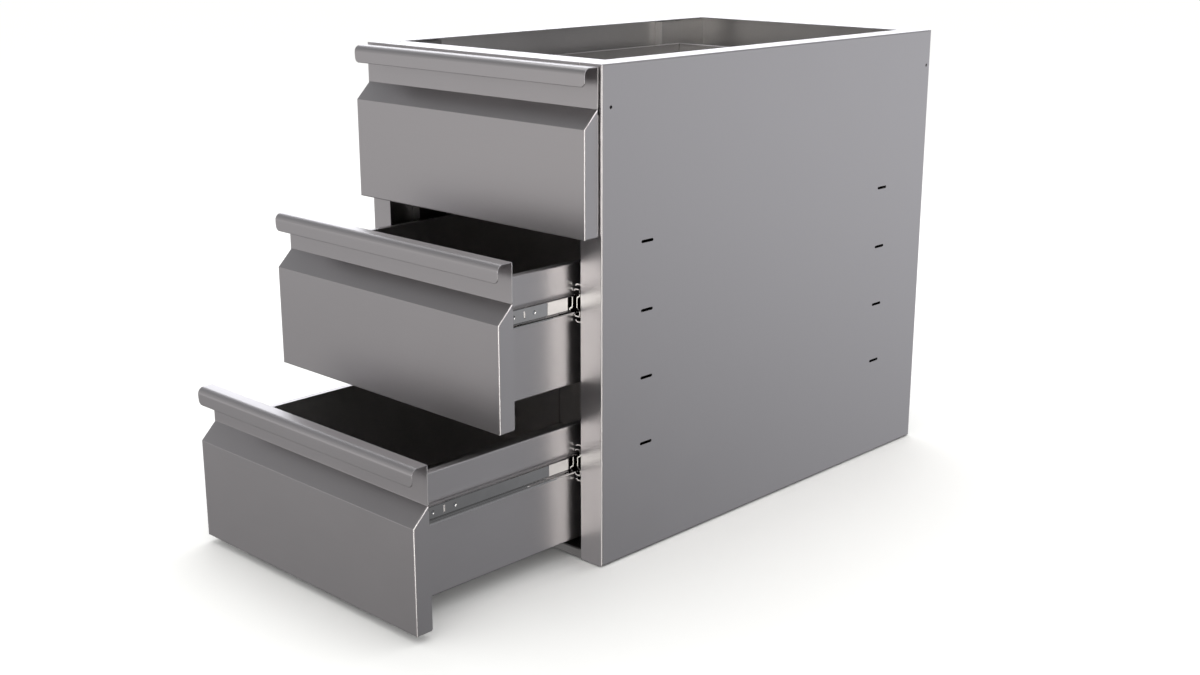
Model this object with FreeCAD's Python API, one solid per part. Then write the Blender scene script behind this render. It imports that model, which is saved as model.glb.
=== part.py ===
import FreeCAD, Part
import math
import os
from FreeCAD import Vector

# An under-desk block of three drawers, folded from stainless sheet. Millimetres, +Z up.
# The origin is the middle of the cabinet's underside and the drawers open towards -Y.
# The drawers stand as in the picture: top closed, middle part open, bottom half open.

# Cabinet
width = 400.0
depth = 640.0
height = 575.0
sheet = 1.2                 # cabinet and slide sheet
fold = 0.8                  # radius inside a fold
stile = 33.5                # front return of a side panel
rear_return = 20.0
bottom_return = 20.0
top_flange_left = 21.0
top_flange_right = 34.0
top_flange_front = 40.0
top_flange_back = 30.0
slant_near = 30.8           # left joint of the flanges: from the side, just behind the stile
slant_reach = 45.0          # and how far back it reaches the left flange's edge
rail_drop = 25.0            # how far the front rail hangs down
rail_hole_x = 132.0
floor_top = 10.9            # upper face of the floor, whose lips turn down
slot_length = 20.0
slot_height = 3.5
slot_from_front = 74.0      # middle of the front column of slots
slot_column_gap = 465.5
slot_lowest = 134.0
slot_pitch = 80.0
slot_rows = 4
foot_hole = 9.0             # four in the bottom returns, for feet or a plinth
foot_spacing = (378.0, 570.0)
side_hole = 4.0
side_hole_z = 528.8
side_hole_inset = (13.9, 8.7)
post_width = 46.0
post_depth = 13.0
post_from_front = (62.0, 528.0)
post_top = 571.8
bracket_crown = 49.0        # height of a bracket where the slide sits on it
bracket_foot = 14.0

# Drawer fronts
drawers = (("top", 572.5, 0.0), ("middle", 382.5, 128.0), ("bottom", 192.5, 249.0))
drawer_sheet = 1.0
front_half = 196.0
front_height = 185.0
neck_height = 45.0          # upright plate that carries the grip
slope = 20.0                # the face steps out by this much, at 45 degrees
face_gap = 2.5              # closed front to cabinet
grip_lip = 20.5
grip_radius = 8.0
lip_corner = 6.0
back_flange = 12.0
bottom_flange = 25.0

# Drawer boxes, measured down from the top of the front
box_half = 155.0
box_depth = 533.5
box_top = 29.0
box_height = 142.0
hem = 8.0
corner_gap = 0.9

# Slides, by depth out from the cabinet and height from the middle of the slide
slide_drop = 74.5           # middle of the slide below the top of the front
slide_length = 500.0
slide_depth = 13.0
slide_setback = 1.5         # front ends behind the cabinet's front plane
stage_travel = 250.0
outer_ball = 4.0
inner_ball = 3.2
outer_ball_at = (6.2, 18.7)
inner_ball_at = (8.6, 13.0)
cage_sheet = 0.5
outer_cage = (126.0, 250.0)  # when shut: front end behind the slide's front, and length
inner_cage = (150.0, 200.0)
balls_in_row = 2
pocket_play = 0.1
member_holes = (34.5, 65.5, 430.0)
member_slot_at = 50.5
member_slot = (2.4, 8.0)
rivet_at = (30.0, 430.0)
pin = 3.0
play = 0.05                 # left between pieces that are fixed together

front = -depth / 2
back = depth / 2
mount_x = box_half + slide_depth
post_x = width / 2 - sheet - post_depth
member_y = front + slide_setback
box_front = front - face_gap + drawer_sheet


# Sheets are drawn as a path of flat runs. The metal lies to the left of the path, or to the
# right where the thickness is negative.

def at(plane, a, b, c=0.0):
    if plane == "yz":
        return Vector(c, a, b)
    if plane == "xz":
        return Vector(a, c, b)
    return Vector(a, b, c)


def unit(p, q):
    length = math.hypot(q[0] - p[0], q[1] - p[1])
    return (q[0] - p[0]) / length, (q[1] - p[1]) / length


def turns(points):
    found = []
    for p, q, r in zip(points, points[1:], points[2:]):
        d, e = unit(p, q), unit(q, r)
        found.append(math.atan2(d[0] * e[1] - d[1] * e[0], d[0] * e[0] + d[1] * e[1]))
    return found


def offset_path(points, gap):
    # every corner moves along its mitre, so the two faces stay parallel
    normals = []
    for p, q in zip(points, points[1:]):
        d = unit(p, q)
        normals.append((-d[1], d[0]))
    moved = [(points[0][0] + normals[0][0] * gap, points[0][1] + normals[0][1] * gap)]
    for point, n, m in zip(points[1:], normals, normals[1:]):
        k = gap / (1 + n[0] * m[0] + n[1] * m[1])
        moved.append((point[0] + (n[0] + m[0]) * k, point[1] + (n[1] + m[1]) * k))
    last = normals[-1]
    moved.append((points[-1][0] + last[0] * gap, points[-1][1] + last[1] * gap))
    return moved


def path_edges(plane, points, radii):
    # straight runs joined by tangent arcs, or by plain corners where the radius is nothing
    edges = []
    start = points[0]
    for i, radius in enumerate(radii, 1):
        corner = points[i]
        d = unit(points[i - 1], corner)
        e = unit(corner, points[i + 1])
        half = abs(turns(points[i - 1:i + 2])[0]) / 2
        if radius <= 0 or half < 1e-6:
            edges.append(Part.makeLine(at(plane, *start), at(plane, *corner)))
            start = corner
            continue
        reach = radius * math.tan(half)
        enter = (corner[0] - d[0] * reach, corner[1] - d[1] * reach)
        leave = (corner[0] + e[0] * reach, corner[1] + e[1] * reach)
        b = unit((0, 0), (e[0] - d[0], e[1] - d[1]))
        sag = radius / math.cos(half) - radius
        middle = (corner[0] + b[0] * sag, corner[1] + b[1] * sag)
        if math.dist(start, enter) > 1e-6:
            edges.append(Part.makeLine(at(plane, *start), at(plane, *enter)))
        edges.append(Part.Arc(at(plane, *enter), at(plane, *middle), at(plane, *leave)).toShape())
        start = leave
    edges.append(Part.makeLine(at(plane, *start), at(plane, *points[-1])))
    return edges


def folded_face(plane, points, thickness, inside, special):
    # special holds the inside radius of corners that differ, by corner number
    near = []
    far = []
    for i, turn in enumerate(turns(points), 1):
        radius = (special or {}).get(i, inside)
        outside = radius + abs(thickness) if radius > 0 else 0
        towards_metal = turn * thickness > 0
        near.append(outside if towards_metal else radius)
        far.append(radius if towards_metal else outside)
    other = offset_path(points, thickness)
    edges = path_edges(plane, points, near)
    edges.append(Part.makeLine(at(plane, *points[-1]), at(plane, *other[-1])))
    edges += path_edges(plane, other, far)
    edges.append(Part.makeLine(at(plane, *other[0]), at(plane, *points[0])))
    return Part.Face(Part.Wire(Part.__sortEdges__(edges)))


def folded(plane, points, thickness, low, high, inside=fold, special=None):
    along = {"yz": Vector(1, 0, 0), "xz": Vector(0, 1, 0), "xy": Vector(0, 0, 1)}[plane]
    face = folded_face(plane, points, thickness, inside, special)
    face.translate(along * low)
    return face.extrude(along * (high - low))


def creased(plane, points, thickness, low, high, cut=1.2):
    # the same with each bend drawn as one narrow flat, for pieces that repeat
    flat = [points[0]]
    for p, q, r in zip(points, points[1:], points[2:]):
        d, e = unit(p, q), unit(q, r)
        flat += [(q[0] - d[0] * cut, q[1] - d[1] * cut), (q[0] + e[0] * cut, q[1] + e[1] * cut)]
    return folded(plane, flat + [points[-1]], thickness, low, high, 0)


def plate(plane, points, low, high):
    along = {"yz": Vector(1, 0, 0), "xz": Vector(0, 1, 0), "xy": Vector(0, 0, 1)}[plane]
    corners = [at(plane, *p) for p in points]
    face = Part.Face(Part.makePolygon(corners + corners[:1]))
    face.translate(along * low)
    return face.extrude(along * (high - low))


def peg(plane, sides, radius, a, b, low, high):
    # a prism on a regular polygon: heads, nuts, shanks and their holes
    turn = math.pi / sides
    ring = [(a + radius * math.cos((2 * k + 1) * turn), b + radius * math.sin((2 * k + 1) * turn))
            for k in range(sides)]
    return plate(plane, ring, low, high)


def block(x, y, z):
    return Part.makeBox(x[1] - x[0], y[1] - y[0], z[1] - z[0], Vector(x[0], y[0], z[0]))


def rod(radius, start, direction, length):
    return Part.makeCylinder(radius, length, Vector(*start), Vector(*direction))


def mirrored(shape):
    return shape.mirror(Vector(0, 0, 0), Vector(1, 0, 0))


def joined(shapes):
    return shapes[0].fuse(shapes[1:]).removeSplitter()


def edges_along(shape, direction, test):
    found = []
    for edge in shape.Edges:
        if edge.Curve.TypeId != "Part::GeomLine" or len(edge.Vertexes) < 2:
            continue
        run = edge.Vertexes[1].Point - edge.Vertexes[0].Point
        if run.Length > 1e-6 and run.normalize().cross(Vector(*direction)).Length < 1e-6:
            if test(edge.CenterOfMass):
                found.append(edge)
    return found


# Cabinet

def slot_cutter(y, z):
    # an oblong hole with round ends, through the right side panel
    r = slot_height / 2
    half = slot_length / 2 - r
    x = width / 2 - 5
    middle = block((x, x + 10), (y - half, y + half), (z - r, z + r))
    ends = [rod(r, (x, y + s * half, z), (1, 0, 0), 10) for s in (-1, 1)]
    return joined([middle] + ends)


def side_panel(top_flange):
    # right-hand panel: a box without its inner wall, rounded along its folds
    edge = width / 2
    outer = block((edge - stile, edge), (front, back), (0, height))
    edges = edges_along(outer, (0, 0, 1), lambda c: c.x > edge - 1)
    edges += edges_along(outer, (0, 1, 0), lambda c: c.x > edge - 1 and c.z > sheet)
    outer = outer.makeFillet(sheet, edges)
    inner = block((edge - stile - 9, edge - sheet), (front + sheet, back - sheet), (sheet, height - sheet))
    panel = outer.cut(inner)
    # the rear and bottom returns are narrower than the stile
    behind_stile = edge - stile - 1
    panel = panel.cut(block((behind_stile, edge - rear_return), (back - 3, back + 1), (-1, height + 1)))
    panel = panel.cut(block((behind_stile, edge - bottom_return), (front + sheet, back + 1), (-1, 3)))
    if top_flange < stile:
        # this flange ends in a slant, where the rail's flange comes up to it
        slant = [(edge - slant_near, front + sheet), (edge - top_flange, front + slant_reach),
                 (edge - top_flange, back + 1), (behind_stile, back + 1), (behind_stile, front + sheet)]
        panel = panel.cut(plate("xy", slant, height - 3, height + 1))
    for column in (0, 1):
        for row in range(slot_rows):
            y = front + slot_from_front + column * slot_column_gap
            panel = panel.cut(slot_cutter(y, slot_lowest + row * slot_pitch))
    for y in (front + side_hole_inset[0], back - side_hole_inset[1]):
        panel = panel.cut(rod(side_hole / 2, (edge - 5, y, side_hole_z), (1, 0, 0), 10))
    for s in (-1, 1):
        foot = (foot_spacing[0] / 2, s * foot_spacing[1] / 2, -1)
        panel = panel.cut(rod(foot_hole / 2, foot, (0, 0, 1), 5))
    return panel


def front_rail():
    # a channel between the stiles, with a wide flange on top that runs on to the left flange
    half = width / 2 - stile - play
    path = [(front, height - rail_drop), (front, height), (front + top_flange_front, height),
            (front + top_flange_front, height - 12)]
    rail = creased("yz", path, -sheet, -half, half)
    near = front + sheet + play
    far = front + top_flange_front - sheet
    run = (slant_near - top_flange_left) * (far - near) / (slant_reach - sheet)
    left = -width / 2 + slant_near + 2 * play
    ear = plate("xy", [(-half + 1, near), (-half + 1, far), (left - run, far), (left, near)],
                height - sheet, height)
    rail = joined([rail, ear])
    for s in (-1, 1):
        rail = rail.cut(rod(1.5, (s * rail_hole_x, front + 4, height - 5), (0, 0, 1), 10))
    return rail


def back_panel():
    # stands inside the rear returns, with a flange turned in at the top
    half = width / 2 - sheet - play
    y = back - sheet - play
    panel = creased("yz", [(y, sheet + 1), (y, height), (back - top_flange_back, height)], sheet, -half, half)
    for s, flange in ((-1, top_flange_left), (1, top_flange_right)):
        low, high = sorted((s * (width / 2 - flange - play), s * width))
        panel = panel.cut(block((low, high), (0, back), (height - 5, height + 1)))
    return panel


def bottom_panel():
    # floor with lips turned down all round; the side lips stand on the bottom returns
    half = width / 2 - sheet - play
    near = front + sheet + play
    far = back - 2 * sheet - 3 * play
    low = sheet + play
    across = [(half, low), (half, floor_top), (-half, floor_top), (-half, low)]
    along = [(far, low), (far, floor_top), (near, floor_top), (near, 0.6)]
    clear = width / 2 - bottom_return - 1
    floor = joined([creased("xz", across, sheet, near + 12, far - 4),
                    creased("yz", along, sheet, -half + 4, half - 4)])
    for s in (-1, 1):
        low_x, high_x = sorted((s * clear, s * width))
        floor = floor.cut(block((low_x, high_x), (front, front + 4), (-1, low)))
    return floor


def post(from_front):
    # a channel welded to the right side wall, open towards the slots
    y0 = front + from_front
    wall = width / 2 - sheet - play
    path = [(wall, y0), (post_x, y0), (post_x, y0 + post_width), (wall, y0 + post_width)]
    return creased("xy", path, -sheet, floor_top + play, post_top)


def bracket(z):
    # a hat section welded to the posts, which fills the step from them to the slide
    crown = bracket_crown / 2 - sheet
    foot = bracket_crown / 2 + bracket_foot
    near = mount_x + play + sheet
    far = post_x - play
    path = [(far, z - foot), (far, z - crown), (near, z - crown), (near, z + crown),
            (far, z + crown), (far, z + foot)]
    hat = creased("xz", path, sheet, front + 3, front + post_from_front[1] + post_width)
    for y in rivet_at:
        hat = hat.cut(pin_hole(mount_x - 1, mount_x + 3, member_y + y, z))
    return hat


def pin_hole(low, high, y, z):
    return peg("yz", 6, pin / 2 + play, y, z, low, high)


def rivet(tip, seat, y, z):
    # the tip ends in the slide's sheet and the head bears on the sheet behind it
    shank = peg("yz", 6, pin / 2, y, z, *sorted((tip, seat)))
    head_end = seat + math.copysign(1.3, seat - tip)
    return shank.fuse(peg("yz", 6, pin, y, z, *sorted((seat, head_end))))


# Slides: sections are lists of (distance from the bracket, height above the middle), upper half only

def whole(upper):
    return upper + [(u, -w) for u, w in reversed(upper)]


outer_section = whole([(10.8, 20.2), (8.8, 22.3), (2.6, 22.3), (0.0, 19.8)])
middle_section = whole([(12.5, 13.8), (11.0, 16.2), (5.2, 16.2), (3.3, 14.3), (3.3, 8.1), (7.6, 5.7)])
inner_section = whole([(6.0, 10.4), (7.4, 11.0), (11.6, 11.0), (13.0, 9.6)])
outer_cage_section = whole([(9.0, 18.95), (1.9, 18.95)])
inner_cage_section = whole([(10.8, 13.25), (4.9, 13.25), (4.9, 9.1), (9.5, 6.5)])


def strip(section, thickness, start, length, z):
    path = [(mount_x - u, z + w) for u, w in section]
    return folded("xz", path, thickness, start, start + length, 0)


def outer_member(z):
    member = strip(outer_section, -sheet, member_y, slide_length, z)
    for y in rivet_at:
        member = member.cut(pin_hole(mount_x - 3, mount_x + 1, member_y + y, z))
    return member


def middle_member(z):
    return strip(middle_section, -sheet, member_y, slide_length, z)


def inner_member(z, out):
    start = member_y - out
    member = strip(inner_section, sheet, start, slide_length, z)
    for y in member_holes:
        member = member.cut(pin_hole(box_half - 1, box_half + 4, start + y, z))
    wide, tall = member_slot
    y = start + member_slot_at
    return member.cut(block((box_half - 1, box_half + 4), (y - wide / 2, y + wide / 2),
                            (z - tall / 2, z + tall / 2)))


def ball(radius, centre):
    # few faces: a cap at each end of a ring
    def ring(polar):
        return [centre + Vector(radius * math.sin(polar) * math.cos(k * math.pi / 3),
                                radius * math.sin(polar) * math.sin(k * math.pi / 3),
                                radius * math.cos(polar)) for k in range(6)]

    high, low = ring(math.pi / 3), ring(math.pi * 2 / 3)
    top, bottom = centre + Vector(0, 0, radius), centre - Vector(0, 0, radius)
    faces = []
    for k in range(6):
        n = (k + 1) % 6
        for corners in ([top, high[k], high[n]], [high[k], low[k], low[n], high[n]],
                        [low[k], bottom, low[n]]):
            faces.append(Part.Face(Part.makePolygon(corners + corners[:1])))
    return Part.makeSolid(Part.makeShell(faces))


def cage(section, size, place, span, z, moved=0):
    # the balls sit in windows in the two arms
    start = member_y + span[0] - moved
    part = strip(section, -cage_sheet, start, span[1], z)
    balls = []
    x = mount_x - place[0]
    reach = size / 2 + pocket_play
    for i in range(balls_in_row):
        y = start + span[1] * (i + 0.5) / balls_in_row
        part = part.cut(block((x - reach, x + reach), (y - reach, y + reach), (z - 25, z + 25)))
        balls += [ball(size / 2, Vector(x, y, z + s * place[1])) for s in (-1, 1)]
    return Part.makeCompound([part] + balls)


# Drawers

def front_tray(rim, out):
    # slope, face, cheeks and underside: a wedge hollowed from behind, rounded where the cheeks fold
    t = drawer_sheet
    near = front - face_gap - out
    face = near - slope
    base = rim - front_height
    foot = rim - neck_height

    def wedge(inset, behind, half):
        mitre = inset * math.tan(math.pi / 8)
        return plate("yz", [(near + behind, base + inset), (face + inset, base + inset),
                            (face + inset, foot - slope - mitre),
                            (near + inset, foot - mitre), (near + behind, foot - mitre)], -half, half)

    outer = wedge(0, t, front_half)
    sides = edges_along(outer, (0, 0, 1), lambda c: c.y < near - 1)
    sides += edges_along(outer, (0, 1, 1), lambda c: abs(c.x) > 1)
    outer = outer.makeFillet(fold, sides)
    return outer.cut(wedge(t, t + 5, front_half - t))


def drawer_front(rim, out):
    # grip, neck, slope, face and returns are one sheet
    t = drawer_sheet
    near = front - face_gap - out
    face = near - slope
    base = rim - front_height
    foot = rim - neck_height
    path = [(face, rim - grip_lip), (face, rim), (near + t, rim), (near + t, foot - 1)]
    grip = folded("yz", path, -t, -front_half, front_half, fold, {1: grip_radius - t, 2: 0})
    grip = grip.makeFillet(lip_corner, edges_along(grip, (0, 1, 0), lambda c: c.z < rim - grip_lip + 1
                                                   and abs(abs(c.x) - front_half) < 0.01))
    pieces = [front_tray(rim, out), grip]
    for s in (-1, 1):
        low, high = sorted((s * front_half, s * (front_half - back_flange)))
        pieces.append(block((low, high), (near, near + t), (base + 2, foot - 6)))
    span = front_half - back_flange - 1
    pieces.append(block((-span, span), (near, near + t), (base, base + bottom_flange)))
    return joined(pieces)


def drawer_box(rim, out):
    # one sheet folded up on four sides, its corners left open, with a hem turned in round the top
    t = drawer_sheet
    half = box_half
    y0 = box_front + play - out
    y1 = y0 + box_depth
    top = rim - box_top
    low = top - box_height
    inset = t + corner_gap
    across = [(-half + hem, top), (-half, top), (-half, low), (half, low), (half, top), (half - hem, top)]
    along = [(y0 + hem, top), (y0, top), (y0, low), (y1, low), (y1, top), (y1 - hem, top)]
    box = joined([creased("xz", across, t, y0 + inset, y1 - inset),
                  creased("yz", along, t, -half + 0.3, half - 0.3)])
    for sx in (-1, 1):
        for y, sy in ((y0, 1), (y1, -1)):
            # the hem's mitred corner
            x = sx * half
            line = [(-1.4, -0.6), (-0.6, -1.4), (hem + 1.4, hem + 0.6), (hem + 0.6, hem + 1.4)]
            box = box.cut(plate("xy", [(x - sx * a, y + sy * b) for a, b in line], top - 2.2, top + 1))
    z = rim - slide_drop
    for y in member_holes:
        for x in (-half, half):
            box = box.cut(pin_hole(x - 2, x + 2, member_y - out + y, z))
    for x, stud_z in stud_places(rim):
        box = box.cut(peg("xz", 6, 2 + play, x, stud_z, y0 - 1, y0 + 3))
    return box


def stud_places(rim):
    return [(s * 100.0, rim - drop) for s in (-1, 1) for drop in (37.0, 164.5)]


def drawer_fasteners(rim, out):
    # rivets through the inner slide members and studs with nuts behind the front
    z = rim - slide_drop
    items = []
    for y in member_holes:
        one = rivet(box_half + 0.5, box_half - drawer_sheet - play, member_y - out + y, z)
        items += [one, mirrored(one)]
    wall = box_front + play / 2 - out
    nut_at = wall + drawer_sheet + 2 * play
    for x, stud_z in stud_places(rim):
        nut = peg("xz", 6, 7.0 / math.sqrt(3), x, stud_z, nut_at, nut_at + 3.2)
        items.append(nut.fuse(peg("xz", 6, 2, x, stud_z, wall, wall + 8)))
    return Part.makeCompound(items)


def buffers(rim, out):
    # rubber discs on the returns behind the front, which meet the stiles
    y = front - face_gap + drawer_sheet + play - out
    thick = face_gap - drawer_sheet - 3 * play
    places = [(s * (front_half - back_flange / 2), rim - drop) for s in (-1, 1) for drop in (56.0, 178.0)]
    return Part.makeCompound([peg("xz", 8, 4, x, z, y, y + thick) for x, z in places])


# Assembly

def cabinet_parts():
    right = side_panel(top_flange_right)
    left = mirrored(side_panel(top_flange_left))
    parts = {"side_panel_right": right, "side_panel_left": left, "front_rail": front_rail(),
             "back_panel": back_panel(), "bottom_panel": bottom_panel()}
    for name, start in zip(("front", "rear"), post_from_front):
        parts["post_" + name + "_right"] = post(start)
        parts["post_" + name + "_left"] = mirrored(post(start))
    rivets = []
    for name, rim, out in drawers:
        z = rim - slide_drop
        hat = bracket(z)
        parts["bracket_" + name + "_right"] = hat
        parts["bracket_" + name + "_left"] = mirrored(hat)
        seat = mount_x + sheet + 2 * play
        rivets += [rivet(mount_x - sheet, seat, member_y + y, z) for y in rivet_at]
    parts["slide_rivets"] = Part.makeCompound(rivets + [mirrored(r) for r in rivets])
    return parts


def slide_parts(name, rim, out):
    # the middle members stay in the cabinet here, and a cage moves half as far as what rolls on it
    z = rim - slide_drop
    made = {"slide_outer": outer_member(z), "slide_middle": middle_member(z),
            "slide_inner": inner_member(z, out),
            "cage_outer": cage(outer_cage_section, outer_ball, outer_ball_at, outer_cage, z),
            "cage_inner": cage(inner_cage_section, inner_ball, inner_ball_at, inner_cage, z, out / 2)}
    parts = {}
    for piece, shape in made.items():
        parts[piece + "_" + name + "_right"] = shape
        parts[piece + "_" + name + "_left"] = mirrored(shape)
    return parts


def drawer_parts(name, rim, out):
    return {"drawer_box_" + name: drawer_box(rim, out), "drawer_front_" + name: drawer_front(rim, out),
            "drawer_fasteners_" + name: drawer_fasteners(rim, out), "buffers_" + name: buffers(rim, out)}


parts = cabinet_parts()
for drawer in drawers:
    parts.update(slide_parts(*drawer))
    parts.update(drawer_parts(*drawer))

os.makedirs("parts", exist_ok=True)
for name, shape in parts.items():
    shape.exportStep("parts/" + name + ".step")
print(len(parts), "parts written")
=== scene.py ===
import bpy
import bmesh
import math
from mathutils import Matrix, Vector


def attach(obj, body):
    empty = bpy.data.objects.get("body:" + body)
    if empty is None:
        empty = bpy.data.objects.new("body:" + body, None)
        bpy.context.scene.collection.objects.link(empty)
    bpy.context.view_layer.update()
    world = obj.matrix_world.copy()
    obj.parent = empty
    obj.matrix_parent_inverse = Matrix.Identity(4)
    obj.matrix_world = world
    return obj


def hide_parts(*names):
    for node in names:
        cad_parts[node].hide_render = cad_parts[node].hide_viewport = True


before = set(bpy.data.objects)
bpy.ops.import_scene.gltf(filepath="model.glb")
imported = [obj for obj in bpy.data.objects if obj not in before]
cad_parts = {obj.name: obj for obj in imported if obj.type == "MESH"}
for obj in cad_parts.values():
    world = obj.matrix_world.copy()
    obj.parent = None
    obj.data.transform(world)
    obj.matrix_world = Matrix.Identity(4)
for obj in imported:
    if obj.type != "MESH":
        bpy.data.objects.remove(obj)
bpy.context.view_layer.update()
bpy.ops.object.select_all(action="DESELECT")
print("frame loaded:", len(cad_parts), "nodes")

# The whole unit, in millimetres. Origin: middle of the cabinet's underside, drawers open towards -Y.
unit = {
    "halfWidth": 200.0,
    "front": -320.0,
    "back": 320.0,
    "height": 575.0,
    "sheet": 1.2,
    "foldInside": 0.8,      # inside radius of a fold
    "bendSteps": 5,
    "play": 0.05,           # between pieces that touch
    "rivetHole": 1.55,      # radius
    "burr": 0.15,           # taken off cut edges
}

# height of the front's upper rim, and how far the drawer stands open
drawers = [
    {"name": "top", "rim": 572.5, "out": 0.0},
    {"name": "middle", "rim": 382.5, "out": 128.0},
    {"name": "bottom", "rim": 192.5, "out": 249.0},
]
firstRim = drawers[0]["rim"]    # what repeats is modelled for the top drawer and copied down


# Colour and node helpers

def linear(hexColour):
    channels = [int(hexColour[i:i + 2], 16) / 255 for i in (1, 3, 5)]
    return [c / 12.92 if c <= 0.04045 else ((c + 0.055) / 1.055) ** 2.4 for c in channels] + [1.0]


def addNode(tree, kind, settings=None, inputs=None):
    node = tree.nodes.new(kind)
    for name, value in (settings or {}).items():
        setattr(node, name, value)
    for name, value in (inputs or {}).items():
        if isinstance(value, bpy.types.NodeSocket):
            tree.links.new(value, node.inputs[name])
        else:
            node.inputs[name].default_value = value
    return node


def newMaterial(name, metallic, roughness):
    material = bpy.data.materials.new(name)
    material.use_nodes = True
    shader = material.node_tree.nodes["Principled BSDF"]
    shader.inputs["Metallic"].default_value = metallic
    shader.inputs["Roughness"].default_value = roughness
    return material, material.node_tree, shader


# Brushed stainless steel, grade 304: the belt leaves short fine scratches along the grain, which blur
# what the sheet reflects into soft grey gradients and shimmer slightly. The scratches are drawn about
# three times as coarse as a 240 grit belt's, so that they show.
stainless = {
    "light": "#cdcacb",
    "dark": "#c5c2c3",
    "roughness": 0.37,
    "spread": 0.02,
    "scratchMm": 0.4,
    "stretch": 90.0,        # a scratch's length over its width
    "depthMm": 0.0012,
    "bump": 0.3,
    "cloudMm": 62.5,        # slow cloudiness of the rolled sheet
    "cloudShare": 0.3,
}

# The same steel as it comes from the mill (2B finish) on the frame's inner pieces: duller and cloudier.
millSteel = dict(stainless, light="#a8a7a6", dark="#949392", roughness=0.36,
                 scratchMm=0.9, stretch=12.0)

# The front posts get a darker copy of the mill steel: painted shade, for the shade they stand in beside the
# drawers.
shadedMillSteel = dict(millSteel, light="#9a9998", dark="#868584")

# Only the outside of a polished sheet is brushed: its inner face keeps the smooth, cloudy mill surface.
# Its lighter tone is painted light: a lit copy of the mill steel, for the inner faces and the rear posts.
litMillSteel = dict(millSteel, light="#d8d6d5", dark="#c9c7c6", roughness=0.34)


def brushedSteel(name, grain, values):
    # grain is the axis that the scratches run along: 0 x, 1 y, 2 z
    material, tree, shader = newMaterial(name, 1.0, values["roughness"])
    where = addNode(tree, "ShaderNodeTexCoord")
    fine = 1000 / values["scratchMm"]
    scale = [fine, fine, fine]
    scale[grain] = fine / values["stretch"]
    along = addNode(tree, "ShaderNodeMapping", None, {
        "Vector": where.outputs["Object"], "Scale": scale})
    scratches = addNode(tree, "ShaderNodeTexNoise", None, {
        "Vector": along.outputs["Vector"], "Scale": 1.0, "Detail": 2.0, "Roughness": 0.6})
    clouds = addNode(tree, "ShaderNodeTexNoise", None, {
        "Vector": where.outputs["Object"], "Scale": 1000 / values["cloudMm"],
        "Detail": 2.0, "Roughness": 0.5})
    both = addNode(tree, "ShaderNodeMath", {"operation": "MULTIPLY_ADD"})
    tree.links.new(scratches.outputs["Fac"], both.inputs[0])
    both.inputs[1].default_value = 1 - values["cloudShare"]
    shade = addNode(tree, "ShaderNodeMath", {"operation": "MULTIPLY"})
    tree.links.new(clouds.outputs["Fac"], shade.inputs[0])
    shade.inputs[1].default_value = values["cloudShare"]
    tree.links.new(shade.outputs[0], both.inputs[2])
    colour = addNode(tree, "ShaderNodeMix", {"data_type": "RGBA"})
    tree.links.new(both.outputs[0], colour.inputs["Factor"])
    colour.inputs[6].default_value = linear(values["dark"])
    colour.inputs[7].default_value = linear(values["light"])
    tree.links.new(colour.outputs[2], shader.inputs["Base Color"])
    rough = addNode(tree, "ShaderNodeMapRange", None, {
        "Value": both.outputs[0], "From Min": 0.35, "From Max": 0.65,
        "To Min": values["roughness"] - values["spread"],
        "To Max": values["roughness"] + values["spread"]})
    tree.links.new(rough.outputs["Result"], shader.inputs["Roughness"])
    bump = addNode(tree, "ShaderNodeBump", None, {
        "Height": scratches.outputs["Fac"], "Strength": values["bump"],
        "Distance": values["depthMm"] / 1000})
    tree.links.new(bump.outputs["Normal"], shader.inputs["Normal"])
    return material


# Bright zinc-plated cold-rolled strip, as slides are roll-formed from it: nearly a mirror, with faint
# drawing lines along it and a hazy film here and there.
zincStrip = {
    "clear": "#cccbca",
    "film": "#b9b8b7",
    "roughness": 0.035,
    "hazy": 0.09,
    "lineMm": 1.4,
    "linesPerMetre": 6.0,   # how often a drawing line changes along its length
    "lineDepthMm": 0.02,
    "bump": 0.05,
    "filmMm": 18.0,
}


def platedSteel(name, values):
    material, tree, shader = newMaterial(name, 1.0, values["roughness"])
    where = addNode(tree, "ShaderNodeTexCoord")
    fine = 1000 / values["lineMm"]
    lines = addNode(tree, "ShaderNodeMapping", None, {
        "Vector": where.outputs["Object"], "Scale": (fine, values["linesPerMetre"], fine)})
    drawn = addNode(tree, "ShaderNodeTexNoise", None,
                    {"Vector": lines.outputs["Vector"], "Scale": 1.0, "Detail": 1.0})
    film = addNode(tree, "ShaderNodeTexNoise", None,
                   {"Vector": where.outputs["Object"], "Scale": 1000 / values["filmMm"], "Detail": 3.0})
    colour = addNode(tree, "ShaderNodeMix", {"data_type": "RGBA"})
    tree.links.new(film.outputs["Fac"], colour.inputs["Factor"])
    colour.inputs[6].default_value = linear(values["clear"])
    colour.inputs[7].default_value = linear(values["film"])
    tree.links.new(colour.outputs[2], shader.inputs["Base Color"])
    rough = addNode(tree, "ShaderNodeMapRange", None, {
        "Value": film.outputs["Fac"], "From Min": 0.45, "From Max": 0.75,
        "To Min": values["roughness"], "To Max": values["hazy"]})
    tree.links.new(rough.outputs["Result"], shader.inputs["Roughness"])
    bump = addNode(tree, "ShaderNodeBump", None, {
        "Height": drawn.outputs["Fac"], "Strength": values["bump"],
        "Distance": values["lineDepthMm"] / 1000})
    tree.links.new(bump.outputs["Normal"], shader.inputs["Normal"])
    return material


# Moulded nitrile rubber: matt black with a fine speckle where the mould was etched.
nitrile = {
    "black": "#17181a",
    "grey": "#232426",
    "roughness": 0.75,
    "speckMm": 0.4,
    "speckDepthMm": 0.05,
    "bump": 0.4,
}


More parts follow.
